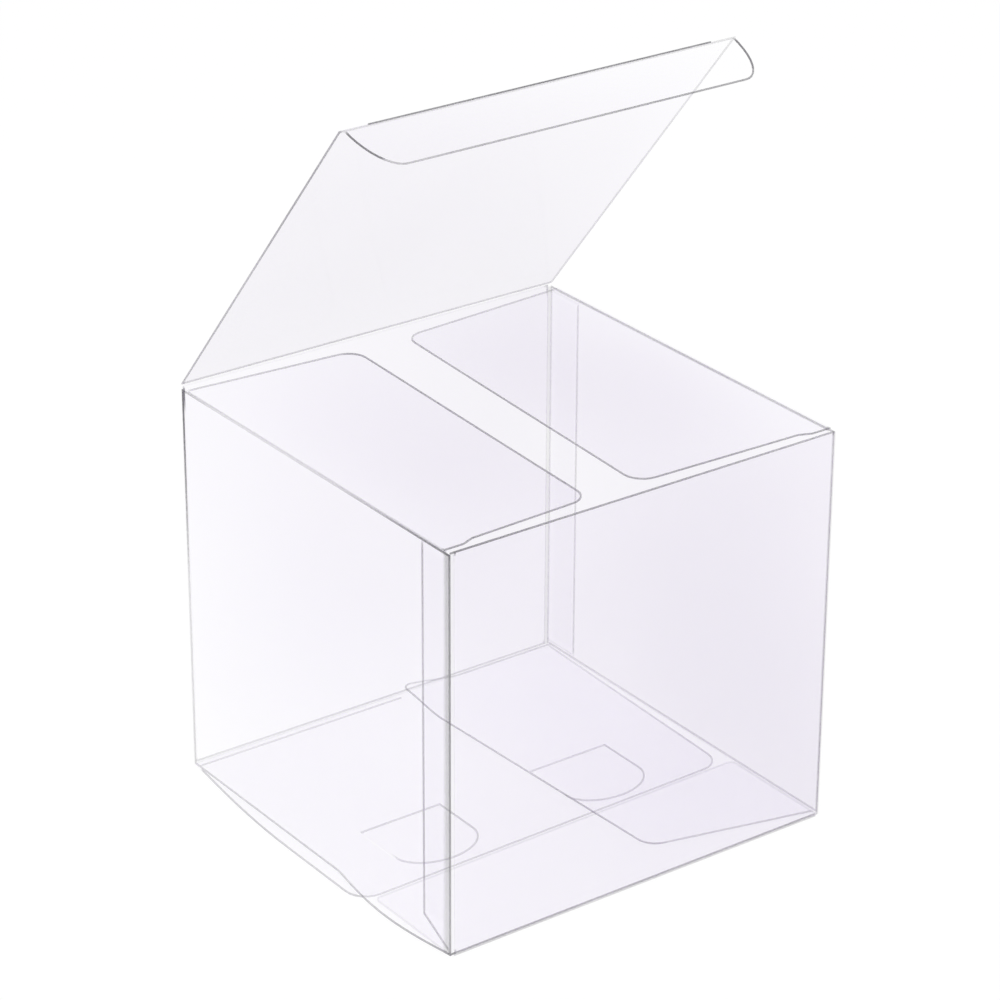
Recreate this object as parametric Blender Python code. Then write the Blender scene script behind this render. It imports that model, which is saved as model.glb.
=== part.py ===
"""Clear folding gift box with a tuck lid, built panel by panel from two die-cut sheets of film.

Sheet one is the front wall and the right wall, with their flaps. Sheet two is the back wall,
which carries the lid, and the left wall. Each sheet has a glue flap at one end, and the two
are joined at the front left and back right corners. Every fold line is a crease: a slim rib
on the axis that its panel turns about. Plan places are measured from the outer front left
corner of the walls, x to the right and y to the back, and z is up from the surface below.
"""

import math

import bmesh
import bpy
from mathutils import Vector

# Walls and film
WIDTH = 0.102
DEPTH = 0.102
HEIGHT = 0.095
SHEET = 0.00035
FOLD_RADIUS = 0.0008

# Creases and clearances
CREASE_RADIUS = SHEET / 2
RUN_GAP = 0.00012
SEAM_GAP = 0.00004
LAYER_GAP = 0.00018
SHEET_CLEAR = CREASE_RADIUS + RUN_GAP

# Glue flaps, on the inside of the left and right walls
GLUE_THICKNESS = 0.0001
GLUE_GAP = 0.00002
FRONT_GLUE_FLAP_WIDTH = 0.0105
BACK_GLUE_FLAP_WIDTH = 0.0112
GLUE_FLAP_CHAMFER = 0.0050
GLUE_LINE_MARGIN = 0.0016
GLUE_FLAP_END_GAP = 0.0003

# Lid and tuck flap
LID_ANGLE = math.radians(50.5)
LID_SIDE_INSET = 0.0003
LID_FRONT_CLEARANCE = 0.0004
TUCK_FOLD_ANGLE = math.radians(70)
TUCK_LENGTH = 0.0138
TUCK_SIDE_CLEARANCE = 0.00025
TUCK_END_REACH = 0.0068
SLIT_LENGTH = 0.0069

# Dust flaps at the mouth
DUST_SHOULDER_INSET = 0.0017
DUST_SHOULDER_LENGTH = 0.0045
DUST_STEP_LENGTH = 0.003
DUST_STEP_DEPTH = 0.0012
DUST_TAPER = 0.0013
DUST_BACK_INSET = 0.0026
DUST_BACK_TAPER = 0.0030
LEFT_DUST_FRONT_LENGTH = 0.0388
LEFT_DUST_BACK_LENGTH = 0.0428
RIGHT_DUST_FRONT_LENGTH = 0.0510
RIGHT_DUST_BACK_LENGTH = 0.0458
DUST_CORNER_RADIUS = 0.0048
DUST_STEP_RADIUS = 0.0011

# Bottom flaps
FRONT_FLAP_LENGTH = 0.0288
FRONT_FLAP_CORNER_RADIUS = 0.0015
BOTTOM_EDGE_GAP = 0.0005
MEETING_TAPER = 0.0018
BACK_FLAP_CORNER_RADIUS = 0.0055
BACK_FLAP_BOW = 0.0031
BACK_FLAP_BOW_SHARE = 0.6
BACK_FLAP_RIGHT_TAPER = 0.0026
BOTTOM_SIDE_INSET = 0.0004
RIGHT_FLAP_FRONT_LENGTH = 0.0405
RIGHT_FLAP_BACK_LENGTH = 0.0446
RIGHT_FLAP_FRONT_TAPER = 0.0095
RIGHT_FLAP_FRONT_RADIUS = 0.0050
RIGHT_FLAP_BACK_RADIUS = 0.0022
RIGHT_FLAP_END_INSET = 0.0009

# Lock tabs, cut from the back bottom flap and hinged on their left side
TAB_WIDTH = 0.0220
TAB_STRAIGHT = 0.0130
TAB_ROUND = 0.0080
TAB_SPACING = 0.0469
TAB_CREASE_FROM_LEFT = 0.0135
TAB_BACK_FROM_FRONT = 0.0538
TAB_CUT = 0.0002

# Facets of round forms
FILLET_STEPS = 6
FOLD_STEPS = 6
ELLIPSE_STEPS = 10
BOW_STEPS = 10
RIB_SIDES = 8

# Heights of the layers
WALL_BOTTOM = SHEET + RUN_GAP
SIDE_WALL_TOP = HEIGHT - LAYER_GAP - SHEET
LID_AXIS_Z = HEIGHT + SHEET_CLEAR
DUST_AXIS_Z = SIDE_WALL_TOP - CREASE_RADIUS
FLOOR_AXIS_Z = CREASE_RADIUS
RIGHT_FLAP_Z = SHEET + LAYER_GAP + SHEET / 2
RIGHT_FLAP_AXIS_Z = RIGHT_FLAP_Z + SHEET / 2 + SHEET_CLEAR

# Places of the axes and of the glued corners
LID_LENGTH = DEPTH - SHEET / 2 - (SHEET + LID_FRONT_CLEARANCE + SHEET / 2)
RIB_INSET = SHEET + SHEET_CLEAR
GLUE_BED = GLUE_THICKNESS + 2 * GLUE_GAP
GLUE_FLAP_INSET = SHEET + GLUE_BED
TUCK_SIDE_INSET = GLUE_FLAP_INSET + SHEET + TUCK_SIDE_CLEARANCE
BACK_FLAP_LENGTH = DEPTH - SHEET / 2 - (FRONT_FLAP_LENGTH + BOTTOM_EDGE_GAP)

# The model's own origin is under the middle of its footprint
ORIGIN = Vector(((WIDTH - BACK_FLAP_BOW) / 2, DEPTH / 2, 0.0))

CLEAR = (0.93, 0.93, 0.97)
CREASED = (0.80, 0.80, 0.86)
ADHESIVE = (0.88, 0.88, 0.90)

UPRIGHT = (math.pi / 2, 0.0, 0.0)
UPRIGHT_SIDE = (math.pi / 2, 0.0, math.pi / 2)
ALONG_X = (0.0, math.pi / 2, 0.0)
ALONG_Y = (math.pi / 2, 0.0, 0.0)


def clear_scene():
    """Removes every object, so that the model starts from an empty scene."""
    for thing in list(bpy.data.objects):
        bpy.data.objects.remove(thing, do_unlink=True)


def plastic(name, colour, roughness, opacity):
    """A Principled material for film, for a creased line or for adhesive."""
    material = bpy.data.materials.new(name)
    material.use_nodes = True
    shader = material.node_tree.nodes["Principled BSDF"]
    shader.inputs["Base Color"].default_value = (*colour, 1.0)
    shader.inputs["Roughness"].default_value = roughness
    shader.inputs["Metallic"].default_value = 0.0
    shader.inputs["Alpha"].default_value = opacity
    return material


def film(name):
    """The material of one film panel."""
    return plastic(name + "_film", CLEAR, 0.06, 0.25)


def at(x, y, z):
    """A plan place and height as a point in the model's own frame."""
    return Vector((x, y, z)) - ORIGIN


def add(name, mesh, material, location, rotation=(0.0, 0.0, 0.0), parent=None):
    """Puts a mesh in the scene as a named object with its origin at location."""
    thing = bpy.data.objects.new(name, mesh)
    mesh.materials.append(material)
    thing.location = location
    thing.rotation_euler = rotation
    thing.parent = parent
    bpy.context.collection.objects.link(thing)
    return thing


def slab(name, outline, middle=0.0, thickness=SHEET):
    """A mesh of an outline given thickness, half above and half below the height middle."""
    mesh = bpy.data.meshes.new(name)
    bm = bmesh.new()
    corners = [bm.verts.new((x, y, middle - thickness / 2)) for x, y in outline]
    face = bm.faces.new(corners)
    grown = bmesh.ops.extrude_face_region(bm, geom=[face])["geom"]
    raised = [item for item in grown if isinstance(item, bmesh.types.BMVert)]
    bmesh.ops.translate(bm, verts=raised, vec=(0.0, 0.0, thickness))
    bmesh.ops.recalc_face_normals(bm, faces=bm.faces)
    bm.to_mesh(mesh)
    bm.free()
    return mesh


def filleted(corners):
    """An outline from (x, y, radius) corners, each one with a radius rounded by an arc."""
    outline = []
    count = len(corners)
    for index, (x, y, radius) in enumerate(corners):
        here = Vector((x, y))
        if radius <= 0.0:
            outline.append((x, y))
            continue
        before = (Vector(corners[index - 1][:2]) - here).normalized()
        after = (Vector(corners[(index + 1) % count][:2]) - here).normalized()
        half = before.angle(after) / 2
        centre = here + (before + after).normalized() * (radius / math.sin(half))
        first = here + before * (radius / math.tan(half)) - centre
        last = here + after * (radius / math.tan(half)) - centre
        turn = first.angle_signed(last)
        for step in range(FILLET_STEPS + 1):
            angle = -turn * step / FILLET_STEPS
            across = first.x * math.cos(angle) - first.y * math.sin(angle)
            along = first.x * math.sin(angle) + first.y * math.cos(angle)
            outline.append((centre.x + across, centre.y + along))
    return outline


def rectangle(left, front, right, back):
    """The outline of a plain rectangle."""
    return [(left, front), (right, front), (right, back), (left, back)]


def crease(name, length, location, rotation, parent=None):
    """A slim round rib along a fold line, centred on the axis that the panel turns about."""
    mesh = bpy.data.meshes.new(name)
    bm = bmesh.new()
    bmesh.ops.create_cone(
        bm, cap_ends=True, segments=RIB_SIDES, depth=length,
        radius1=CREASE_RADIUS, radius2=CREASE_RADIUS,
    )
    bm.to_mesh(mesh)
    bm.free()
    mesh.shade_smooth()
    mesh.set_sharp_from_angle(angle=math.radians(60))
    white = plastic(name + "_whitened", CREASED, 0.35, 0.7)
    return add(name, mesh, white, location, rotation, parent)


def corner_fold(name, centre_x, centre_y, start, top):
    """A quarter-round fold between two upright panels, from angle start to start plus 90."""
    angles = [start + math.pi / 2 * step / FOLD_STEPS for step in range(FOLD_STEPS + 1)]
    trim = SEAM_GAP / FOLD_RADIUS
    angles[0] += trim
    angles[-1] -= trim
    inner = FOLD_RADIUS - SHEET
    outline = [(FOLD_RADIUS * math.cos(a), FOLD_RADIUS * math.sin(a)) for a in angles]
    outline += [(inner * math.cos(a), inner * math.sin(a)) for a in reversed(angles)]
    height = top - WALL_BOTTOM
    mesh = slab(name, outline, height / 2, height)
    return add(name, mesh, film(name), at(centre_x, centre_y, WALL_BOTTOM))


def upright(name, outline, location, rotation, thickness=SHEET, material=None):
    """A standing panel, its outline drawn along the wall and up from location."""
    mesh = slab(name, outline, 0.0, thickness)
    return add(name, mesh, material or film(name), location, rotation)


def walls():
    """The four walls and the four rounded folds at the box's upright corners."""
    half = SHEET / 2
    glued = GLUE_FLAP_INSET + FOLD_RADIUS
    rise = HEIGHT - WALL_BOTTOM
    side_rise = SIDE_WALL_TOP - WALL_BOTTOM
    front_run = WIDTH - FOLD_RADIUS - glued
    side_run = DEPTH - FOLD_RADIUS - SEAM_GAP
    upright("front_wall", rectangle(0.0, 0.0, front_run, rise),
            at(glued, half, WALL_BOTTOM), UPRIGHT)
    upright("right_wall", rectangle(0.0, 0.0, side_run, side_rise),
            at(WIDTH - half, FOLD_RADIUS, WALL_BOTTOM), UPRIGHT_SIDE)
    upright("back_wall", rectangle(0.0, 0.0, front_run, rise),
            at(FOLD_RADIUS, DEPTH - half, WALL_BOTTOM), UPRIGHT)
    upright("left_wall", rectangle(0.0, 0.0, side_run, side_rise),
            at(half, SEAM_GAP, WALL_BOTTOM), UPRIGHT_SIDE)
    quarter = math.pi / 2
    corner_fold("front_left_fold", glued, FOLD_RADIUS, 2 * quarter, SIDE_WALL_TOP)
    corner_fold("front_right_fold", WIDTH - FOLD_RADIUS, FOLD_RADIUS, 3 * quarter, SIDE_WALL_TOP)
    corner_fold("back_right_fold", WIDTH - glued, DEPTH - FOLD_RADIUS, 0.0, SIDE_WALL_TOP)
    corner_fold("back_left_fold", FOLD_RADIUS, DEPTH - FOLD_RADIUS, quarter, SIDE_WALL_TOP)


def glue_flaps():
    """The two glue flaps inside the side walls, each with its line of adhesive."""
    top = SIDE_WALL_TOP - 2 * CREASE_RADIUS - GLUE_FLAP_END_GAP
    front_rise = top - WALL_BOTTOM
    reach = FRONT_GLUE_FLAP_WIDTH - FOLD_RADIUS
    chamfered = [
        (0.0, 0.0), (reach, GLUE_FLAP_CHAMFER), (reach, front_rise), (0.0, front_rise),
    ]
    middle = GLUE_FLAP_INSET + SHEET / 2
    start = FOLD_RADIUS + SEAM_GAP
    upright("front_glue_flap", chamfered, at(middle, start, WALL_BOTTOM), UPRIGHT_SIDE)
    back_bottom = RIGHT_FLAP_AXIS_Z + CREASE_RADIUS + GLUE_FLAP_END_GAP
    back_rise = top - back_bottom
    back_reach = BACK_GLUE_FLAP_WIDTH - FOLD_RADIUS
    back_start = DEPTH - FOLD_RADIUS - SEAM_GAP - back_reach
    upright("back_glue_flap", rectangle(0.0, 0.0, back_reach, back_rise),
            at(WIDTH - middle, back_start, back_bottom), UPRIGHT_SIDE)
    margin = GLUE_LINE_MARGIN
    line_middle = SHEET + GLUE_BED / 2
    strip = rectangle(margin, margin, reach - margin, front_rise - GLUE_FLAP_CHAMFER - margin)
    upright("front_glue_line", strip,
            at(line_middle, start, WALL_BOTTOM + GLUE_FLAP_CHAMFER), UPRIGHT_SIDE,
            GLUE_THICKNESS, plastic("front_glue", ADHESIVE, 0.3, 0.35))
    strip = rectangle(margin, margin, back_reach - margin, back_rise - margin)
    upright("back_glue_line", strip,
            at(WIDTH - line_middle, back_start, back_bottom), UPRIGHT_SIDE,
            GLUE_THICKNESS, plastic("back_glue", ADHESIVE, 0.3, 0.35))


def tuck_outline():
    """Quarter ellipses at both ends of the tuck flap, from its crease to its straight edge."""
    half = WIDTH / 2 - TUCK_SIDE_INSET
    depth = TUCK_LENGTH - SHEET_CLEAR
    turns = [math.pi / 2 * step / ELLIPSE_STEPS for step in range(ELLIPSE_STEPS + 1)]
    end = [
        (half - TUCK_END_REACH * (1 - math.cos(t)), -SHEET_CLEAR - depth * math.sin(t))
        for t in turns
    ]
    return end + [(-x, y) for x, y in reversed(end)]


def lid():
    """The lid, hinged on the back wall, and the tuck flap hinged on the lid's front edge."""
    hinge = at(WIDTH / 2, DEPTH - SHEET / 2, LID_AXIS_Z)
    half = WIDTH / 2 - LID_SIDE_INSET
    panel = rectangle(-half, -(LID_LENGTH - SHEET_CLEAR), half, -SHEET_CLEAR)
    crease("lid_crease", 2 * (half - FOLD_RADIUS), hinge, ALONG_X)
    lid_panel = add("lid_panel", slab("lid_panel", panel), film("lid_panel"),
                    hinge, (-LID_ANGLE, 0.0, 0.0))
    fold = Vector((0.0, -LID_LENGTH, 0.0))
    crease("tuck_crease", 2 * (half - SLIT_LENGTH), fold, ALONG_X, lid_panel)
    add("tuck_flap", slab("tuck_flap", tuck_outline()), film("tuck_flap"),
        fold, (TUCK_FOLD_ANGLE, 0.0, 0.0), lid_panel)


def dust_outline(front_length, back_length):
    """A dust flap by its distance from the axis and its plan y, from its root by the front."""
    root = -(RIB_INSET - SHEET / 2)
    shoulder = SHEET + DUST_SHOULDER_INSET
    stepped = shoulder + DUST_STEP_DEPTH
    step_end = DUST_SHOULDER_LENGTH + DUST_STEP_LENGTH
    back = DEPTH - DUST_BACK_INSET
    return filleted([
        (root, shoulder, 0.0),
        (DUST_SHOULDER_LENGTH, shoulder, DUST_STEP_RADIUS),
        (step_end, stepped, DUST_STEP_RADIUS),
        (front_length - RIB_INSET, stepped + DUST_TAPER, DUST_CORNER_RADIUS),
        (back_length - RIB_INSET, back - DUST_BACK_TAPER, DUST_CORNER_RADIUS),
        (root, back, 0.0),
    ])


def turned_flap(name, outline, axis, middle, side):
    """A flap on a side wall: side is 1 where it reaches to the right and -1 to the left."""
    plan = [(side * reach, y - DEPTH / 2) for reach, y in outline]
    add(name, slab(name, plan, middle), film(name), axis)


def dust_flaps():
    """The two dust flaps, hinged along the inside of the side walls' top edges."""
    run = DEPTH - DUST_BACK_INSET - SHEET - DUST_SHOULDER_INSET
    centre_y = SHEET + DUST_SHOULDER_INSET + run / 2
    lift = SHEET_CLEAR + SHEET / 2
    lengths = {
        "left_dust": (RIB_INSET, 1, LEFT_DUST_FRONT_LENGTH, LEFT_DUST_BACK_LENGTH),
        "right_dust": (WIDTH - RIB_INSET, -1, RIGHT_DUST_FRONT_LENGTH, RIGHT_DUST_BACK_LENGTH),
    }
    for name, (x, side, front_length, back_length) in lengths.items():
        crease(name + "_crease", run, at(x, centre_y, DUST_AXIS_Z), ALONG_Y)
        turned_flap(name + "_flap", dust_outline(front_length, back_length),
                    at(x, DEPTH / 2, DUST_AXIS_Z), lift, side)


def right_bottom_flap():
    """The right bottom flap, which lies inside on top of the others and folds up."""
    front = SHEET + RIGHT_FLAP_END_INSET
    back = DEPTH - SHEET - RIGHT_FLAP_END_INSET
    root = -(RIB_INSET - SHEET - RUN_GAP)
    outline = filleted([
        (root, front, 0.0),
        (RIGHT_FLAP_FRONT_LENGTH - RIB_INSET, front + RIGHT_FLAP_FRONT_TAPER,
         RIGHT_FLAP_FRONT_RADIUS),
        (RIGHT_FLAP_BACK_LENGTH - RIB_INSET, back, RIGHT_FLAP_BACK_RADIUS),
        (root, back, 0.0),
    ])
    x = WIDTH - RIB_INSET
    crease("right_bottom_crease", back - front, at(x, DEPTH / 2, RIGHT_FLAP_AXIS_Z), ALONG_Y)
    turned_flap("right_bottom_flap", outline, at(x, DEPTH / 2, RIGHT_FLAP_AXIS_Z),
                -(SHEET_CLEAR + SHEET / 2), -1)


def front_bottom_flap():
    """The front bottom flap, which meets the back one edge to edge and folds down."""
    half = WIDTH / 2 - BOTTOM_SIDE_INSET
    reach = FRONT_FLAP_LENGTH - SHEET / 2
    outline = filleted([
        (-half, SHEET_CLEAR, 0.0),
        (half, SHEET_CLEAR, 0.0),
        (half, reach + MEETING_TAPER, FRONT_FLAP_CORNER_RADIUS),
        (-half, reach, FRONT_FLAP_CORNER_RADIUS),
    ])
    hinge = at(WIDTH / 2, SHEET / 2, FLOOR_AXIS_Z)
    crease("front_bottom_crease", 2 * (half - FOLD_RADIUS), hinge, ALONG_X)
    add("front_bottom_flap", slab("front_bottom_flap", outline), film("front_bottom_flap"), hinge)


def back_flap_outline():
    """The back bottom flap: its left side bows out, and its front corners are round."""
    half = WIDTH / 2 - BOTTOM_SIDE_INSET
    bow = BACK_FLAP_BOW + BOTTOM_SIDE_INSET
    run = BACK_FLAP_LENGTH * BACK_FLAP_BOW_SHARE
    side = []
    for step in range(1, BOW_STEPS + 1):
        share = step / BOW_STEPS
        side.append((-half - bow * math.sin(math.pi / 2 * share), -SHEET_CLEAR - run * share, 0.0))
    return filleted([
        (half, -SHEET_CLEAR, 0.0),
        (-half, -SHEET_CLEAR, 0.0),
        *side,
        (-half - bow, -BACK_FLAP_LENGTH, BACK_FLAP_CORNER_RADIUS),
        (half - BACK_FLAP_RIGHT_TAPER, -(BACK_FLAP_LENGTH - MEETING_TAPER),
         BACK_FLAP_CORNER_RADIUS),
    ])


def tab_outline(grow, root):
    """A tab by its distance to the right of its crease, from root on, grow wider all round."""
    middle = TAB_WIDTH / 2
    turns = [math.pi * step / (2 * ELLIPSE_STEPS) for step in range(1, 2 * ELLIPSE_STEPS + 1)]
    end = [
        (max(root, middle - (middle + grow) * math.cos(t)),
         -TAB_STRAIGHT - (TAB_ROUND + grow) * math.sin(t))
        for t in turns
    ]
    return [(TAB_WIDTH + grow, grow), (root, grow), (root, -TAB_STRAIGHT), *end]


def back_bottom_flap():
    """The back bottom flap with its two lock tabs, each hinged in its own window."""
    hinge = at(WIDTH / 2, DEPTH - SHEET / 2, FLOOR_AXIS_Z)
    flap = add("back_bottom_flap", slab("back_bottom_flap", back_flap_outline()),
               film("back_bottom_flap"), hinge)
    crease("back_bottom_crease", WIDTH - 2 * (BOTTOM_SIDE_INSET + FOLD_RADIUS), hinge, ALONG_X)
    for name, left in (("left_lock_tab", TAB_CREASE_FROM_LEFT),
                       ("right_lock_tab", TAB_CREASE_FROM_LEFT + TAB_SPACING)):
        place = at(left, TAB_BACK_FROM_FRONT, FLOOR_AXIS_Z)
        window = slab(name + "_window", tab_outline(TAB_CUT, -SHEET_CLEAR), 0.0, 4 * SHEET)
        cutter = add(name + "_window", window, film(name + "_window"), place)
        cutter.hide_render = True
        cutter.display_type = "WIRE"
        cut = flap.modifiers.new(name + "_cut", "BOOLEAN")
        cut.operation = "DIFFERENCE"
        cut.object = cutter
        crease(name + "_crease", TAB_STRAIGHT,
               at(left, TAB_BACK_FROM_FRONT - TAB_STRAIGHT / 2, FLOOR_AXIS_Z), ALONG_Y)
        add(name, slab(name, tab_outline(0.0, SHEET_CLEAR)), film(name), place)


def main():
    """Builds the box."""
    clear_scene()
    walls()
    glue_flaps()
    lid()
    dust_flaps()
    front_bottom_flap()
    back_bottom_flap()
    right_bottom_flap()


if __name__ == "__main__":
    main()
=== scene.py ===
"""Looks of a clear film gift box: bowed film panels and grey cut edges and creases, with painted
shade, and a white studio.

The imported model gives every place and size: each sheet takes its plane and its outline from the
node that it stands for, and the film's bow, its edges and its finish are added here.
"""

import math

import bmesh
import bpy
import numpy as np
from mathutils import Matrix, Vector


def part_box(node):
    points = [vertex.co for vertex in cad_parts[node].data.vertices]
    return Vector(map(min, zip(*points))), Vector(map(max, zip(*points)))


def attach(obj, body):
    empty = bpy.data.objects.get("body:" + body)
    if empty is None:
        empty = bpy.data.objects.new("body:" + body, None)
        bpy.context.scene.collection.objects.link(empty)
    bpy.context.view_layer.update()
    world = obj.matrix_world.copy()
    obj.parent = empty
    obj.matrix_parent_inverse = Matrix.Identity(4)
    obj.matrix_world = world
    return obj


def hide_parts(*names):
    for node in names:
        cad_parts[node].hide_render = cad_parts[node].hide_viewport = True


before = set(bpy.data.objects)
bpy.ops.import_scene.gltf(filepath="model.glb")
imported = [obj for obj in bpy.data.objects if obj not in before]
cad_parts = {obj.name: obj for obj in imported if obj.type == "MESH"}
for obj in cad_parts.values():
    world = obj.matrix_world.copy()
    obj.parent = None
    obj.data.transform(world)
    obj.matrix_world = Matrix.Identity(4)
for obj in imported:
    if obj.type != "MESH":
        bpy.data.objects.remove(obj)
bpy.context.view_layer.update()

bl_info = {
    "name": "Clear film gift box",
    "version": (1, 0, 0),
    "blender": (4, 5, 0),
    "location": "View3D > Sidebar > Gift box",
    "description": "Film panels, cut edges, creases and studio for a clear folding gift box",
    "category": "Object",
}

MM = 0.001

# Outline points closer than this are one point, a step shorter than any between two rows of a
# sheet, and the decimals of a metre to which two rows have to agree to be one
NEAR = 0.02 * MM
HAIR = 0.001 * MM
ROUNDING = 7

# Rows of points in a strip of painted shade, and the angle in degrees from which a sheet's edge is
# sharp
SHADE_STRIP_ROWS = 8
SHARP_ANGLE = 50

# The grey lines' profile: its points, the power that squares it, and the least cosine of half a
# corner's turn, which limits how far a line is widened or set in there
BEAD_SIDES = 8
BEAD_POWER = 0.6
LEAST_COSINE = 0.5

# The longest step along a cut edge's line, and its width over how far it is set in
EDGE_SPACING = 1.0 * MM
EDGE_INSET = 2.2

# From which share of the right bottom flap's width and of its reach its corner curls up
CURL_ACROSS = 0.84
CURL_REACH = 0.6

# How far along the left wall's foot it stands out, and the strip of painted shade at its front,
# beside the rounded fold: its width, and what it adds at the top and at the foot
BULGE_LENGTH = 42 * MM
FRONT_SHADE_STRIP = (2.3 * MM, 0.26, 0.14)

# Where the lines of painted shade at the front left corner start and end, from the front wall's
# left side
CORNER_LINE = (-1.0 * MM, 0.1 * MM)

# The score line of painted shade beside the back bottom flap's fold: its distance from it, its
# start and its end
SCORE_DROP = 1.5 * MM
SCORE_FROM = 4 * MM
SCORE_TO = 60 * MM

# Refractive index of the film
FILM_IOR = 1.57

# Shares of light that a film face stops where its colour is the film's own, that of its painted
# shade, and the edges' grey of painted shade
CLEAREST = 0.008
DEEP_SHADE = 0.045
EDGE_GREY = 0.16

X_AXIS = np.array((1.0, 0.0, 0.0))
Y_AXIS = np.array((0.0, 1.0, 0.0))
Z_AXIS = np.array((0.0, 0.0, 1.0))

# The photograph's view: where the camera looks from, in degrees and metres, and its lens
IMAGE_WIDTH = 1000
SENSOR = 36.0
CAMERA_AZIMUTH = -36.24
CAMERA_ELEVATION = 25.50
CAMERA_ROLL = 0.246
CAMERA_DISTANCE = 0.8429
CAMERA_ASIDE = -0.0008
CAMERA_RAISED = 0.0227
FOCAL_PIXELS = 3796.5

# The lamp's side, and its place from the middle of the walls
LAMP_SIZE = 0.7
LAMP_PLACE = (-0.25, -0.3, 0.75)

# How far the floor reaches each way, its points each way, and how far it lies under the box
FLOOR_REACH = 4.0
FLOOR_POINTS = 9
FLOOR_DROP = 0.02 * MM

# Share of the floor's look that is plain white for the camera, the rest takes light and shadow
FLOOR_GLOW = 0.9

# Clear faces that a ray may pass one after the other
CLEAR_FACES = 32


class GiftBoxSettings(bpy.types.PropertyGroup):
    """Sizes and colours of the film, its edges and the studio."""

    film_tint: bpy.props.FloatVectorProperty(
        name="Film tint", description="Colour of the film where it looks clearest",
        default=(0.38, 0.20, 0.79), size=3, min=0.0, max=1.0, subtype="COLOR")
    # This tint colours the film where its painted shade is deepest.
    shade_tint: bpy.props.FloatVectorProperty(
        name="Deep tint", description="Colour of the film where it looks deepest",
        default=(0.24, 0.08, 0.47), size=3, min=0.0, max=1.0, subtype="COLOR")
    film_density: bpy.props.FloatProperty(
        name="Film density", description="Multiplies how much light every film face stops",
        default=1.06, min=0.0, max=4.0)
    edge_density: bpy.props.FloatProperty(
        name="Edge density", description="Multiplies how dark every cut edge and crease is",
        default=1.0, min=0.0, max=3.0)
    # The grey of cut edges, folds and creases is painted shade; the dried glue has it as its own
    # colour.
    edge_tint: bpy.props.FloatVectorProperty(
        name="Cut edge", description="Colour of the film seen along its cut edges",
        default=(0.16, 0.155, 0.17), size=3, min=0.0, max=1.0, subtype="COLOR")
    edge_width: bpy.props.FloatProperty(
        name="Edge width", description="Width of the grey line along a cut edge",
        default=0.42 * MM, min=0.1 * MM, max=1.0 * MM, unit="LENGTH")
    edge_thickness: bpy.props.FloatProperty(
        name="Edge thickness", description="Thickness of the slightly rounded cut edge",
        default=0.37 * MM, min=0.1 * MM, max=1.0 * MM, unit="LENGTH")
    wall_bow: bpy.props.FloatProperty(
        name="Wall bow", description="How far the front and back walls' middles bend inwards",
        default=0.35 * MM, min=0.0, max=1.0 * MM, unit="LENGTH")
    lid_bow: bpy.props.FloatProperty(
        name="Lid bow", description="How far the middle of the lid bends outwards",
        default=0.6 * MM, min=0.0, max=2.0 * MM, unit="LENGTH")
    flap_sag: bpy.props.FloatProperty(
        name="Flap sag", description="How far a dust flap's middle hangs down",
        default=0.3 * MM, min=0.0, max=2.0 * MM, unit="LENGTH")
    side_bulge: bpy.props.FloatProperty(
        name="Side bulge", description="How far the left wall's lower front edge stands out",
        default=2.3 * MM, min=0.0, max=3.0 * MM, unit="LENGTH")
    corner_curl: bpy.props.FloatProperty(
        name="Corner curl", description="How far the right bottom flap's back corner curls up",
        default=2.2 * MM, min=0.0, max=4.0 * MM, unit="LENGTH")
    floor_tint: bpy.props.FloatVectorProperty(
        name="Floor", description="Colour of the floor",
        default=(0.98, 0.98, 0.98), size=3, min=0.0, max=1.0, subtype="COLOR")
    sky_strength: bpy.props.FloatProperty(
        name="Sky strength", description="Strength of the soft light all round",
        default=0.95, min=0.0, max=3.0)
    lamp_power: bpy.props.FloatProperty(
        name="Lamp power", description="Power of the large soft lamp overhead",
        default=2.4, min=0.0, max=50.0, unit="POWER")


class Panel:
    """The plane of a flat film node: its middle, the way along its fold, its reach and its face."""

    def __init__(self, node, along, facing):
        """The normal is the largest triangle's, turned round where it looks away from facing."""
        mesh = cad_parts[node].data
        points = np.empty(len(mesh.vertices) * 3)
        mesh.vertices.foreach_get("co", points)
        points = points.reshape(-1, 3)
        areas = np.empty(len(mesh.polygons))
        mesh.polygons.foreach_get("area", areas)
        self.node = node
        self.along = along
        self.middle = (points.min(0) + points.max(0)) / 2
        self.normal = np.array(mesh.polygons[int(areas.argmax())].normal)
        self.normal /= np.linalg.norm(self.normal)
        if self.normal @ np.asarray(facing, float) < 0:
            self.normal = -self.normal
        self.reach = np.cross(self.normal, along)
        offset = points - self.middle
        self.plan = np.stack([offset @ along, offset @ self.reach], 1)
        self.thickness = np.ptp(offset @ self.normal)
        self.low, self.high = self.plan.min(0), self.plan.max(0)

    def place(self, across, reach, lift):
        """Points of the frame: middle + across x along + reach x reach + lift x normal."""
        return (self.middle + across[..., None] * self.along
                + reach[..., None] * self.reach + lift[..., None] * self.normal)

    def share(self, across, reach):
        """Plan points as shares of the panel's width and of its reach."""
        size = self.high - self.low
        return (across - self.low[0]) / size[0], (reach - self.low[1]) / size[1]

    def outline(self, keep=None):
        """The node's outline in order: its plan points sorted by their angle round its middle,
        less those that stand within NEAR of the one before."""
        plan = self.plan if keep is None else self.plan[keep]
        centre = (plan.min(0) + plan.max(0)) / 2
        order = plan[np.argsort(np.arctan2(plan[:, 1] - centre[1], plan[:, 0] - centre[0]))]
        gap = np.linalg.norm(order - np.roll(order, 1, 0), axis=1)
        return order[gap > NEAR]


def pillow(panel, depth):
    """Bow of a sheet held at all four sides: depth x sin of half a turn each way."""
    def bow(across, reach):
        u, v = panel.share(across, reach)
        return depth * np.sin(np.pi * np.clip(u, 0, 1)) * np.sin(np.pi * np.clip(v, 0, 1))
    return bow


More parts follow.
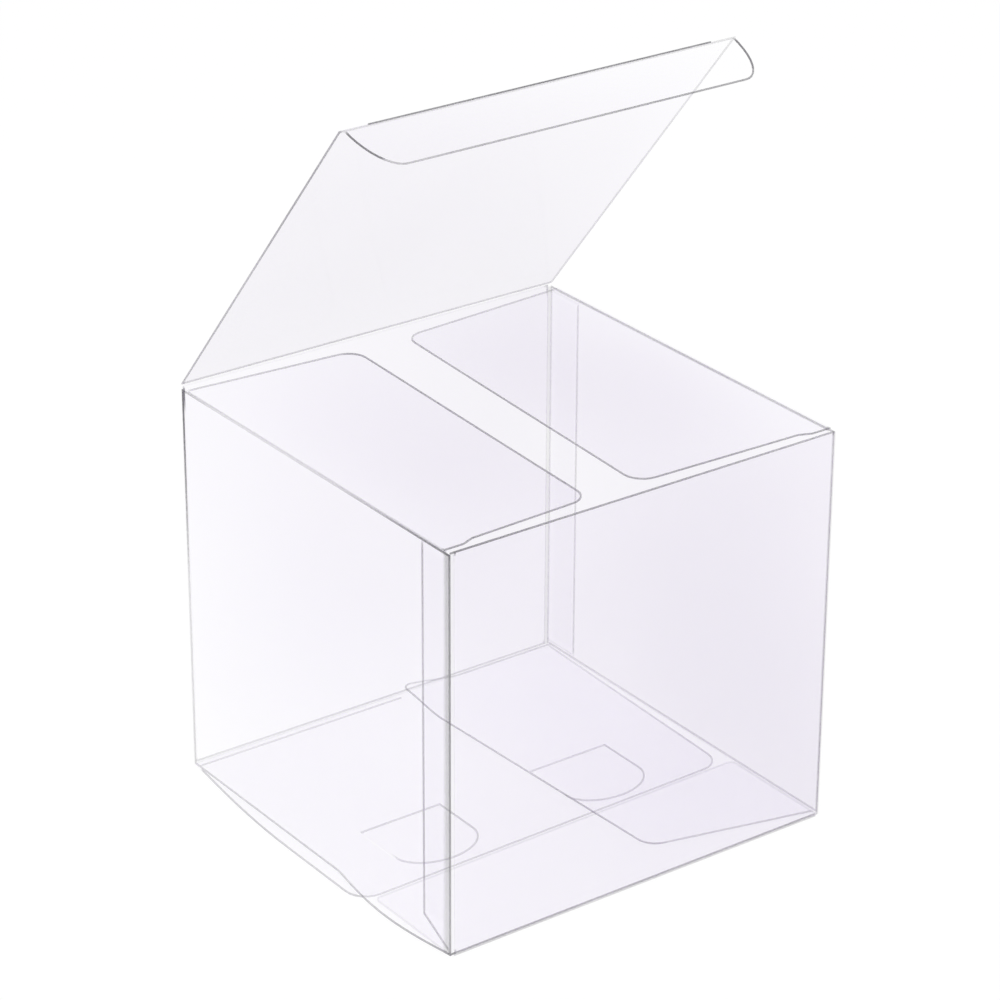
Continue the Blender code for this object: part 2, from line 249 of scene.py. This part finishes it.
def bulge(panel, depth, length):
    """Bow of a wall whose free side stands out near its start.

    Depth x sin of half a turn over length x the cube of the share of the reach."""
    def bow(across, reach):
        v = panel.share(across, reach)[1]
        turn = np.pi * np.clip((across - panel.low[0]) / length, 0, 1)
        return depth * np.sin(turn) * np.clip(v, 0, 1) ** 3
    return bow


def curl(panel, height):
    """Bow of a flap whose far free corner turns up: height x a smooth step each way."""
    def bow(across, reach):
        u, v = panel.share(across, reach)
        turned = smooth((u - CURL_ACROSS) / (1 - CURL_ACROSS))
        return height * turned * smooth((v - CURL_REACH) / (1 - CURL_REACH))
    return bow


def smooth(share):
    """The smooth step 3 s squared - 2 s cubed, from 0 to 1."""
    s = np.clip(share, 0, 1)
    return s * s * (3 - 2 * s)


def flat(across, reach):
    """No bow."""
    return np.zeros(np.broadcast(across, reach).shape)


def film_amount(panel, across, reach, shade, painted_shade_strip):
    """Share of light that a face stops, from its shade and its strip of painted shade.

    The shade's first four values are those at the fold's start and end and at the free side's
    start and end, blended both ways, and its fifth is a middle's extra of painted shade, times
    16 u (1 - u) v (1 - v). Together they hold the film's density, with painted shade where they
    differ over a panel. The strip of painted shade lies along the panel's start: its width,
    softened over the outer third, and what it adds at the fold and at the free side."""
    u, v = panel.share(across, reach)
    weights = ((1 - u) * (1 - v), u * (1 - v), (1 - u) * v, u * v, 16 * u * (1 - u) * v * (1 - v))
    amount = sum(weight * value for weight, value in zip(weights, shade))
    width, at_fold, at_free = painted_shade_strip
    strip = smooth(3 - 3 * (across - panel.low[0]) / width)
    return amount + strip * (at_fold + (at_free - at_fold) * v)


def edge_amount(panel, path, sides):
    """Painted shade of a cut edge's line at the points of a path: each takes its nearest side of
    the panel.

    Sides are fold, free, start and end. Fold and free run from start to end, and start and
    end from fold to free, and a side's own values are spaced evenly along it."""
    u, v = panel.share(path[:, 0], path[:, 1])
    size = panel.high - panel.low
    distance = np.stack([v * size[1], (1 - v) * size[1], u * size[0], (1 - u) * size[0]])
    values = np.stack([np.interp(share, np.linspace(0, 1, len(side)), side)
                       for share, side in zip((u, u, v, v), sides)])
    return np.take_along_axis(values, distance.argmin(0)[None], 0)[0]


def finer(path, spacing):
    """A closed path with points added, so that none of its steps is longer than the spacing."""
    step = np.roll(path, -1, 0) - path
    counts = np.ceil(np.linalg.norm(step, axis=1) / spacing).astype(int)
    first = np.repeat(np.cumsum(counts) - counts, counts)
    share = (np.arange(counts.sum()) - first) / np.repeat(counts, counts)
    return np.repeat(path, counts, 0) + np.repeat(step, counts, 0) * share[:, None]


def make_mesh(name, points, faces, material, amount=None):
    """An object at the origin from arrays of points and of four-cornered faces.

    A piece with an amount at each point is smooth and keeps it as an attribute."""
    mesh = bpy.data.meshes.new(name)
    mesh.from_pydata(points.reshape(-1, 3).tolist(), [], faces.tolist())
    mesh.materials.append(material)
    mesh.validate()
    if amount is not None:
        layer = mesh.attributes.new("amount", "FLOAT", "POINT")
        layer.data.foreach_set("value", amount.ravel().astype(np.float32))
        mesh.shade_smooth()
        mesh.set_sharp_from_angle(angle=math.radians(SHARP_ANGLE))
    mesh.update()
    thing = bpy.data.objects.new(name, mesh)
    bpy.context.scene.collection.objects.link(thing)
    return thing


def tube_faces(rings, sides, closed):
    """Faces of a grid of rings x sides points, where each ring closes on itself.

    Corner k of a face joins ring i to ring i + 1 and side j to side j + 1, both taken round."""
    count = rings if closed else rings - 1
    i, j = np.meshgrid(np.arange(count), np.arange(sides), indexing="ij")
    after, beside = (i + 1) % rings, (j + 1) % sides
    corners = (i * sides + j, after * sides + j, after * sides + beside, i * sides + beside)
    return np.stack(corners, -1).reshape(-1, 4)


def end_faces(start, half, flip):
    """Faces that close one end of a flattened tube: point j above is joined to its twin below."""
    j = np.arange(half - 1)
    twin = 2 * half - 1 - j
    corners = [start + j, start + j + 1, start + twin - 1, start + twin]
    return np.stack(corners if flip else corners[::-1], -1)


def film_sheet(name, panel, bow, material, shade, painted_shade_strip, steps):
    """A film slab between its fold and its free edge.

    The rows follow each other along the fold, closer in the strip of painted shade. In each row the
    sheet reaches from the straight fold side to the outline's far side, found by linear
    interpolation between the outline's corners from one end of the fold to the other, and the
    points go out over the face and back under it, half a thickness from the bowed middle."""
    low, high = panel.low, panel.high
    corners = panel.outline().round(ROUNDING)
    far = corners[corners[:, 1] > low[1] + NEAR]
    far = far[np.lexsort((far[:, 1], far[:, 0]))]
    rows = np.unique(np.concatenate([
        np.linspace(low[0], high[0], steps[0]),
        np.linspace(low[0], low[0] + painted_shade_strip[0], SHADE_STRIP_ROWS),
        far[:, 0],
    ]).round(ROUNDING))
    places = np.concatenate([[rows[0] - HAIR], far[:, 0], [rows[-1] + HAIR]])
    reaches = np.concatenate([[low[1]], far[:, 1], [low[1]]])
    reach_to = np.clip(np.interp(rows, places, reaches), low[1] + 2 * NEAR, high[1])
    share = np.linspace(0.0, 1.0, steps[1])
    across = np.broadcast_to(rows[:, None], (len(rows), steps[1]))
    reach = low[1] + (reach_to[:, None] - low[1]) * share
    lift = bow(across, reach)
    half = panel.thickness / 2
    above = panel.place(across, reach, lift + half)
    below = panel.place(across, reach, lift - half)[:, ::-1]
    amount = film_amount(panel, across, reach, shade, painted_shade_strip) * settings().film_density
    sides = 2 * steps[1]
    faces = np.concatenate([
        tube_faces(len(rows), sides, False),
        end_faces(0, steps[1], True),
        end_faces((len(rows) - 1) * sides, steps[1], False),
    ])
    return make_mesh(name, np.concatenate([above, below], 1), faces, material,
                     np.concatenate([amount, amount[:, ::-1]], 1))


def bead(name, panel, path, closed, bow, painted_shade):
    """A slim rounded profile carried along a path in a panel's plane, as dark as its painted shade
    says.

    At each corner the profile stands on the bisector and is widened by 1 / cos of half the
    corner's turn. The profile is a superellipse: cos and sin to BEAD_POWER, with their signs."""
    values = settings()
    path = np.asarray(path, float)
    step = np.roll(path, -1, 0) - path
    step /= np.linalg.norm(step, axis=1)[:, None]
    back = np.roll(step, 1, 0)
    if not closed:
        step[-1], back[0] = back[-1], step[0]
    ahead = step + back
    ahead /= np.linalg.norm(ahead, axis=1)[:, None]
    widen = 1 / np.clip((ahead * step).sum(1), LEAST_COSINE, 1.0)
    side = np.stack([ahead[:, 1], -ahead[:, 0]], 1) * widen[:, None]
    turn = 2 * np.pi * (np.arange(BEAD_SIDES) + 0.5) / BEAD_SIDES
    cos, sin = np.cos(turn), np.sin(turn)
    out = np.sign(cos) * np.abs(cos) ** BEAD_POWER * values.edge_width / 2
    up = np.sign(sin) * np.abs(sin) ** BEAD_POWER * values.edge_thickness / 2
    across = path[:, 0, None] + side[:, 0, None] * out
    reach = path[:, 1, None] + side[:, 1, None] * out
    points = panel.place(across, reach, bow(across, reach) + up)
    faces = tube_faces(len(path), BEAD_SIDES, closed)
    if not closed:
        faces = np.concatenate([
            faces, end_faces(0, BEAD_SIDES // 2, True),
            end_faces((len(path) - 1) * BEAD_SIDES, BEAD_SIDES // 2, False),
        ])
    amount = np.repeat(np.asarray(painted_shade) * values.edge_density, BEAD_SIDES)
    thing = make_mesh(name, points, faces, edge_finish(name + "_look"), amount)
    face_outwards(thing)
    return thing


def face_outwards(thing):
    """Turns the faces of a closed mesh outwards."""
    bm = bmesh.new()
    bm.from_mesh(thing.data)
    bmesh.ops.recalc_face_normals(bm, faces=bm.faces)
    bm.to_mesh(thing.data)
    bm.free()


def settings():
    """The scene's settings."""
    return bpy.context.scene.gift_box


def shader_of(material):
    """The material's Principled node."""
    return material.node_tree.nodes["Principled BSDF"]


def add_node(material, kind, **inputs):
    """A node of that kind, with the named inputs set to values."""
    node = material.node_tree.nodes.new(kind)
    for name, value in inputs.items():
        node.inputs[name.replace("_", " ")].default_value = value
    return node


def cloudy(material, scale, detail, low, high):
    """A factor from low to high that drifts over the surface, from noise on Object coordinates."""
    links = material.node_tree.links
    where = add_node(material, "ShaderNodeTexCoord")
    noise = add_node(material, "ShaderNodeTexNoise", Scale=scale, Detail=detail, Roughness=0.45)
    spread = add_node(material, "ShaderNodeMapRange", To_Min=low, To_Max=high)
    spread.inputs["From Min"].default_value = 0.3
    spread.inputs["From Max"].default_value = 0.7
    links.new(where.outputs["Object"], noise.inputs["Vector"])
    links.new(noise.outputs["Fac"], spread.inputs["Value"])
    return spread.outputs["Result"]


def multiply(material, first, second):
    """The product of two sockets, or of a socket and a number."""
    node = material.node_tree.nodes.new("ShaderNodeMath")
    node.operation = "MULTIPLY"
    material.node_tree.links.new(first, node.inputs[0])
    if isinstance(second, float):
        node.inputs[1].default_value = second
    else:
        material.node_tree.links.new(second, node.inputs[1])
    return node.outputs[0]


def film_material(name, roughness):
    """A new material with the film's refractive index and a roughness."""
    material = bpy.data.materials.new(name)
    material.use_nodes = True
    shader_of(material).inputs["Roughness"].default_value = roughness
    shader_of(material).inputs["IOR"].default_value = FILM_IOR
    return material


def drifting(material, drift, opacity, density):
    """The share of light that is stopped: the drift times the opacity and the density, or where
    the opacity is None, times the amount that the piece keeps at each point."""
    if opacity is not None:
        return multiply(material, drift, opacity * density)
    amount = add_node(material, "ShaderNodeAttribute")
    amount.attribute_name = "amount"
    return multiply(material, drift, amount.outputs["Fac"])


def film_finish(name, opacity=None):
    """Glossy clear film that stops the share of light in its amount, or one share all over.

    Its colour goes from the film's own tint over the tint of its painted shade to the edges' grey
    of painted shade as that grows, and a bump of slow noise ripples its gloss."""
    values = settings()
    material = film_material(name, 0.08)
    shader = shader_of(material)
    links = material.node_tree.links
    drift = cloudy(material, scale=14.0, detail=2.0, low=0.9, high=1.1)
    dense = drifting(material, drift, opacity, values.film_density)
    links.new(dense, shader.inputs["Alpha"])
    tint = add_node(material, "ShaderNodeValToRGB")
    stops = tint.color_ramp.elements
    stops[0].position, stops[0].color = CLEAREST, (*values.film_tint, 1.0)
    stops[1].position, stops[1].color = EDGE_GREY, (*values.edge_tint, 1.0)
    stops.new(DEEP_SHADE).color = (*values.shade_tint, 1.0)
    links.new(dense, tint.inputs["Fac"])
    links.new(tint.outputs["Color"], shader.inputs["Base Color"])
    where = add_node(material, "ShaderNodeTexCoord")
    wave = add_node(material, "ShaderNodeTexNoise", Scale=22.0, Detail=1.0)
    bump = add_node(material, "ShaderNodeBump", Strength=0.08, Distance=0.0004)
    links.new(where.outputs["Object"], wave.inputs["Vector"])
    links.new(wave.outputs["Fac"], bump.inputs["Height"])
    links.new(bump.outputs["Normal"], shader.inputs["Normal"])
    return material


def edge_finish(name, opacity=None):
    """Film seen along a cut edge or a crease, grey with painted shade, or dried glue in that grey:
    partly clear and a little uneven.
    """
    values = settings()
    material = film_material(name, 0.25)
    shader = shader_of(material)
    shader.inputs["Base Color"].default_value = (*values.edge_tint, 1.0)
    drift = cloudy(material, scale=30.0, detail=3.0, low=0.85, high=1.15)
    dense = drifting(material, drift, opacity, values.edge_density)
    material.node_tree.links.new(dense, shader.inputs["Alpha"])
    return material


def finish_node(node, material):
    """Gives a kept node its procedural material."""
    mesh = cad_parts[node].data
    mesh.materials.clear()
    mesh.materials.append(material)


def dressed(piece, body, *nodes, slot):
    """A piece that rides on a body and hides the nodes that it stands for. The slot is not used."""
    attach(piece, body)
    if nodes:
        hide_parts(*nodes)


def film_piece(panel, body, shade, sides, bow=flat, painted_shade_strip=(MM, 0.0, 0.0), steps=(24, 24)):
    """One film sheet with the grey line of painted shade along its cut edge.

    The shade, the film's density with painted shade, and the strip of painted shade are what
    film_amount takes, the sides are what edge_amount takes, and the steps are the rows along the
    fold and the points across a row."""
    node = panel.node
    film = film_finish(node + "_film")
    sheet = film_sheet(node + "_sheet", panel, bow, film, shade, painted_shade_strip, steps)
    dressed(sheet, body, node, slot="clear_film")
    cut_edge(panel, panel.outline(), body, sides, bow)


def cut_edge(panel, outline, body, sides, bow=flat):
    """The grey line of painted shade along the outline of a panel."""
    path = finer(shrunk(outline, settings().edge_width / EDGE_INSET), EDGE_SPACING)
    painted_shade = edge_amount(panel, path, sides)
    line = bead(panel.node + "_cut_edge", panel, path, True, bow, painted_shade)
    dressed(line, body, slot="clear_film")


def painted_shade_line(name, panel, body, start, end, painted_shade):
    """A straight line of even painted shade on a panel, from one plan point to another."""
    path = np.linspace(start, end, 3)
    line = bead(name, panel, path, False, flat, np.full(len(path), painted_shade))
    dressed(line, body, slot="crease_line")


def shrunk(outline, by):
    """The outline moved inwards by a distance, along each corner's bisector."""
    step = np.roll(outline, -1, 0) - outline
    step /= np.linalg.norm(step, axis=1)[:, None]
    ahead = step + np.roll(step, 1, 0)
    ahead /= np.linalg.norm(ahead, axis=1)[:, None]
    widen = by / np.clip((ahead * step).sum(1), LEAST_COSINE, 1.0)
    return outline + np.stack([-ahead[:, 1], ahead[:, 0]], 1) * widen[:, None]


class GIFTBOX_OT_walls(bpy.types.Operator):
    """Makes the four walls of film with their cut edges."""

    bl_idname = "giftbox.walls"
    bl_label = "Walls"

    def execute(self, context):
        """The front and back walls bow inwards, the left one's foot stands out near the front,
        and the right one is flat."""
        values = settings()
        front = Panel("front_wall", X_AXIS, -Y_AXIS)
        # Each wall's shade holds the film's density with painted shade that changes over the wall.
        film_piece(front, "sleeve", bow=pillow(front, -values.wall_bow),
                   shade=(0.037, 0.063, 0.037, 0.040, 0.010),
                   sides=((0.37, 0.34), (0.53, 0.32), (0.0,), (0.10,)))
        # Short lines of painted shade where the front left fold meets the top and foot cut edges.
        start, end = front.low[0] + CORNER_LINE[0], front.low[0] + CORNER_LINE[1]
        for name, line in (("front_corner_top", front.high[1] - values.edge_width / 2),
                           ("front_corner_foot", front.low[1] + values.edge_width / 2)):
            painted_shade_line(name, front, "sleeve", (start, line), (end, line), painted_shade=0.45)
        back = Panel("back_wall", X_AXIS, Y_AXIS)
        film_piece(back, "sleeve", bow=pillow(back, -values.wall_bow),
                   shade=(0.027, 0.070, 0.002, 0.044, 0.010),
                   sides=((0.02,), (0.15,), (0.6, 0.6) + (0.02,) * 28, (0.25,) + (0.0,) * 29))
        # The strip at the left wall's front is painted shade beside the rounded front left fold.
        left = Panel("left_wall", Y_AXIS, -X_AXIS)
        film_piece(left, "sleeve", bow=bulge(left, values.side_bulge, BULGE_LENGTH),
                   shade=(0.017, 0.012, 0.030, 0.008, 0.010), painted_shade_strip=FRONT_SHADE_STRIP,
                   sides=((0.60, 0.48, 0.25, 0.15, 0.14, 0.13, 0.13, 0.30),
                          (0.42, 0.26, 0.2, 0.2), (0.36, 0.24), (0.80, 0.12, 0.16)))
        film_piece(Panel("right_wall", Y_AXIS, X_AXIS), "sleeve",
                   shade=(0.047, 0.042, 0.036, 0.046, 0.023),
                   sides=((0.13,), (0.26,), (0.12, 0.10), (0.06,)))
        return {"FINISHED"}


class GIFTBOX_OT_glue_flaps(bpy.types.Operator):
    """Makes the two glue flaps and finishes their lines of adhesive."""

    bl_idname = "giftbox.glue_flaps"
    bl_label = "Glue flaps"

    def execute(self, context):
        shade = (0.011,) * 4 + (0.0,)
        film_piece(Panel("front_glue_flap", -Z_AXIS, X_AXIS), "sleeve", shade=shade,
                   sides=((0.0,), (0.28,), (0.03,), (0.26,)), steps=(12, 6))
        film_piece(Panel("back_glue_flap", -Z_AXIS, -X_AXIS), "sleeve", shade=shade,
                   sides=((0.0,), (0.16,), (0.03,), (0.05,)), steps=(12, 6))
        glue = edge_finish("dried_glue", opacity=0.01)
        finish_node("front_glue_line", glue)
        finish_node("back_glue_line", glue)
        return {"FINISHED"}


class GIFTBOX_OT_lid(bpy.types.Operator):
    """Makes the lid and its tuck flap."""

    bl_idname = "giftbox.lid"
    bl_label = "Lid"

    def execute(self, context):
        lid = Panel("lid_panel", -X_AXIS, Z_AXIS)
        # The lid's shade holds the film's density with painted shade that changes over the lid.
        film_piece(lid, "lid", bow=pillow(lid, settings().lid_bow),
                   shade=(0.084, 0.072, 0.0, 0.056, 0.024),
                   sides=((0.17,), (0.10,), (0.14,), (0.29, 0.42)))
        film_piece(Panel("tuck_flap", X_AXIS, Y_AXIS), "tuck", shade=(0.002,) * 4 + (0.0,),
                   sides=((0.05,), (0.30, 0.34, 0.50), (0.72,), (0.75,)), steps=(24, 8))
        return {"FINISHED"}


class GIFTBOX_OT_dust_flaps(bpy.types.Operator):
    """Makes the two dust flaps, which sag a little."""

    bl_idname = "giftbox.dust_flaps"
    bl_label = "Dust flaps"

    def execute(self, context):
        sag = settings().flap_sag
        left = Panel("left_dust_flap", -Y_AXIS, Z_AXIS)
        # Each flap's shade holds the film's density with painted shade that changes over the flap.
        film_piece(left, "left_dust", bow=pillow(left, -sag),
                   shade=(0.013, 0.027, 0.030, 0.049, 0.013),
                   sides=((0.02,), (0.40,), (0.19, 0.26), (0.42,)))
        right = Panel("right_dust_flap", Y_AXIS, Z_AXIS)
        film_piece(right, "right_dust", bow=pillow(right, -sag),
                   shade=(0.016, 0.026, 0.038, 0.031, 0.024),
                   sides=((0.02,), (0.39,), (0.40,), (0.20,)))
        return {"FINISHED"}


class GIFTBOX_OT_bottom_flaps(bpy.types.Operator):
    """Makes the right bottom flap, finishes the flat flaps and tabs below it and adds their
    lines."""

    bl_idname = "giftbox.bottom_flaps"
    bl_label = "Bottom flaps"

    def execute(self, context):
        upper = Panel("right_bottom_flap", Y_AXIS, Z_AXIS)
        # This flap's shade holds the film's density with painted shade that changes over the flap.
        film_piece(upper, "right_bottom", bow=curl(upper, settings().corner_curl),
                   shade=(0.023, 0.020, 0.010, 0.004, 0.006),
                   sides=((0.04,), (0.26,), (0.19,), (0.14,)))
        front = Panel("front_bottom_flap", X_AXIS, Z_AXIS)
        back = Panel("back_bottom_flap", X_AXIS, -Z_AXIS)
        finish_node("front_bottom_flap", film_finish("front_bottom_flap_film", opacity=0.025))
        finish_node("back_bottom_flap", film_finish("back_bottom_flap_film", opacity=0.028))
        cut_edge(front, front.outline(), "front_bottom",
                 sides=((0.0,), (0.06,), (0.06,), (0.06,)))
        cut_edge(back, back.outline(outside_tabs(back)), "back_bottom",
                 sides=((0.0,), (0.15,), (0.22,), (0.10, 0.16)))
        # The score's grey line is painted shade.
        line = back.low[1] + SCORE_DROP
        painted_shade_line("bottom_score", back, "back_bottom", (back.low[0] + SCORE_FROM, line),
                   (back.low[0] + SCORE_TO, line), painted_shade=0.13)
        for node, body in (("left_lock_tab", "left_tab"), ("right_lock_tab", "right_tab")):
            tab = Panel(node, X_AXIS, -Z_AXIS)
            finish_node(node, film_finish(node + "_film", opacity=0.028))
            cut_edge(tab, tab.outline(), body,
                     sides=((0.15,), (0.16,), (0.0,) * 5 + (0.16,) * 3, (0.20,)))
        return {"FINISHED"}


def outside_tabs(panel):
    """Which of the back bottom flap's points aren't on the windows of its lock tabs."""
    spot = (panel.middle[:2] + panel.plan[:, :1] * panel.along[:2]
            + panel.plan[:, 1:] * panel.reach[:2])
    keep = np.ones(len(spot), bool)
    for tab in ("left_lock_tab", "right_lock_tab"):
        low, high = (np.array(corner)[:2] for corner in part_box(tab))
        keep &= ~((spot > low - MM) & (spot < high + MM)).all(1)
    return keep


class GIFTBOX_OT_folds(bpy.types.Operator):
    """Finishes the upright folds and the creases in grey, painted shade along them."""

    bl_idname = "giftbox.folds"
    bl_label = "Folds and creases"

    def execute(self, context):
        # How much painted shade each fold and crease carries.
        shades = {
            "front_left_fold": 0.03, "front_right_fold": 0.10,
            "back_right_fold": 0.12, "back_left_fold": 0.03,
            "lid_crease": 0.03, "tuck_crease": 0.58, "left_dust_crease": 0.14,
            "right_dust_crease": 0.12, "front_bottom_crease": 0.18, "back_bottom_crease": 0.05,
            "right_bottom_crease": 0.03, "left_lock_tab_crease": 0.01,
            "right_lock_tab_crease": 0.01,
        }
        for node, opacity in shades.items():
            finish_node(node, edge_finish(node + "_look", opacity))
        return {"FINISHED"}


class GIFTBOX_OT_stage(bpy.types.Operator):
    """Sets the camera, the soft light and the white floor."""

    bl_idname = "giftbox.stage"
    bl_label = "Stage"

    def execute(self, context):
        values = settings()
        scene = context.scene
        scene.view_settings.view_transform = "Standard"
        scene.cycles.transparent_max_bounces = CLEAR_FACES
        walls = [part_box(n) for n in ("front_wall", "back_wall", "left_wall", "right_wall")]
        middle = (Vector(map(min, *(low for low, _ in walls)))
                  + Vector(map(max, *(high for _, high in walls)))) / 2
        make_camera(scene, middle)
        make_world(scene, values.sky_strength)
        make_lamp(scene, values.lamp_power, middle)
        make_floor(values.floor_tint)
        return {"FINISHED"}


def make_camera(scene, middle):
    """The photograph's camera.

    It stands off the middle along its azimuth and elevation, moves aside and up in its own
    plane, and is rolled about the way it looks. Its lens is focal pixels x sensor / width."""
    azimuth, elevation = math.radians(CAMERA_AZIMUTH), math.radians(CAMERA_ELEVATION)
    back = Vector((math.sin(azimuth) * math.cos(elevation),
                   -math.cos(azimuth) * math.cos(elevation), math.sin(elevation)))
    right = Vector((0, 0, 1)).cross(back).normalized()
    up = back.cross(right)
    roll = math.radians(CAMERA_ROLL)
    right, up = (math.cos(roll) * right + math.sin(roll) * up,
                 -math.sin(roll) * right + math.cos(roll) * up)
    spot = middle + back * CAMERA_DISTANCE + right * CAMERA_ASIDE + up * CAMERA_RAISED
    camera = bpy.data.objects.new("camera", bpy.data.cameras.new("camera"))
    camera.data.sensor_width = SENSOR
    camera.data.lens = FOCAL_PIXELS * SENSOR / IMAGE_WIDTH
    turned = Matrix((right, up, back)).transposed().to_4x4()
    camera.matrix_world = Matrix.Translation(spot) @ turned
    scene.collection.objects.link(camera)
    scene.camera = camera


def make_world(scene, strength):
    """White for the camera, and soft light of the given strength for everything else."""
    world = bpy.data.worlds.new("studio")
    scene.world = world
    world.use_nodes = True
    tree = world.node_tree
    light = tree.nodes["Background"]
    light.inputs["Color"].default_value = (1.0, 1.0, 1.0, 1.0)
    light.inputs["Strength"].default_value = strength
    seen = tree.nodes.new("ShaderNodeBackground")
    seen.inputs["Color"].default_value = (1.0, 1.0, 1.0, 1.0)
    seen.inputs["Strength"].default_value = 1.0
    mixed = tree.nodes.new("ShaderNodeMixShader")
    tree.links.new(eye_ray(tree), mixed.inputs["Fac"])
    tree.links.new(light.outputs[0], mixed.inputs[1])
    tree.links.new(seen.outputs[0], mixed.inputs[2])
    tree.links.new(mixed.outputs[0], tree.nodes["World Output"].inputs["Surface"])


def make_lamp(scene, power, middle):
    """One large soft lamp above, a little to the left and in front."""
    lamp = bpy.data.lights.new("soft_lamp", "AREA")
    lamp.shape = "SQUARE"
    lamp.size = LAMP_SIZE
    lamp.energy = power
    holder = bpy.data.objects.new("soft_lamp", lamp)
    holder.location = middle + Vector(LAMP_PLACE)
    holder.rotation_euler = (middle - holder.location).to_track_quat("-Z", "Y").to_euler()
    scene.collection.objects.link(holder)


def make_floor(tint):
    """A wide flat grid just under the box. For the camera it is mostly plain white, and the rest
    of its look takes light and the box's shadow."""
    grid = np.linspace(-FLOOR_REACH, FLOOR_REACH, FLOOR_POINTS)
    x, y = np.meshgrid(grid, grid, indexing="ij")
    points = np.stack([x, y, np.full_like(x, -FLOOR_DROP)], -1)
    first = np.arange(FLOOR_POINTS ** 2).reshape(FLOOR_POINTS, FLOOR_POINTS)[:-1, :-1].ravel()
    beside = first + FLOOR_POINTS
    faces = np.stack([first, beside, beside + 1, first + 1], -1)
    material = bpy.data.materials.new("white_floor")
    material.use_nodes = True
    shader_of(material).inputs["Base Color"].default_value = (*tint, 1.0)
    shader_of(material).inputs["Roughness"].default_value = 0.9
    shader_of(material).inputs["Specular IOR Level"].default_value = 0.0
    glow = add_node(material, "ShaderNodeEmission", Color=(1.0, 1.0, 1.0, 1.0), Strength=1.0)
    mixed = add_node(material, "ShaderNodeMixShader")
    tree = material.node_tree
    seen = multiply(material, eye_ray(tree), FLOOR_GLOW)
    tree.links.new(seen, mixed.inputs["Fac"])
    tree.links.new(shader_of(material).outputs[0], mixed.inputs[1])
    tree.links.new(glow.outputs[0], mixed.inputs[2])
    tree.links.new(mixed.outputs[0], tree.nodes["Material Output"].inputs["Surface"])
    return make_mesh("floor", points, faces, material)


def eye_ray(tree):
    """1 for the rays that the camera sees directly, in a mirror or through glass, and 0 else."""
    path = tree.nodes.new("ShaderNodeLightPath")
    joined = path.outputs["Is Camera Ray"]
    for name in ("Is Glossy Ray", "Is Transmission Ray"):
        larger = tree.nodes.new("ShaderNodeMath")
        larger.operation = "MAXIMUM"
        tree.links.new(joined, larger.inputs[0])
        tree.links.new(path.outputs[name], larger.inputs[1])
        joined = larger.outputs[0]
    return joined


class GIFTBOX_PT_panel(bpy.types.Panel):
    """Sidebar panel with the gift box's operators."""

    bl_idname = "GIFTBOX_PT_panel"
    bl_label = "Gift box"
    bl_space_type = "VIEW_3D"
    bl_region_type = "UI"
    bl_category = "Gift box"

    def draw(self, context):
        for name in GiftBoxSettings.__annotations__:
            self.layout.prop(context.scene.gift_box, name)
        for operator in OPERATORS:
            self.layout.operator(operator.bl_idname)


OPERATORS = (
    GIFTBOX_OT_walls, GIFTBOX_OT_glue_flaps, GIFTBOX_OT_lid, GIFTBOX_OT_dust_flaps,
    GIFTBOX_OT_bottom_flaps, GIFTBOX_OT_folds, GIFTBOX_OT_stage,
)
CLASSES = (GiftBoxSettings, *OPERATORS, GIFTBOX_PT_panel)


def register():
    """Registers the classes and the scene's settings."""
    for cls in CLASSES:
        bpy.utils.register_class(cls)
    bpy.types.Scene.gift_box = bpy.props.PointerProperty(type=GiftBoxSettings)


def unregister():
    """Takes the settings and the classes away again."""
    del bpy.types.Scene.gift_box
    for cls in reversed(CLASSES):
        bpy.utils.unregister_class(cls)


def main():
    register()
    bpy.ops.giftbox.walls()
    bpy.ops.giftbox.glue_flaps()
    bpy.ops.giftbox.lid()
    bpy.ops.giftbox.dust_flaps()
    bpy.ops.giftbox.bottom_flaps()
    bpy.ops.giftbox.folds()
    bpy.ops.giftbox.stage()


if __name__ == "__main__":
    main()
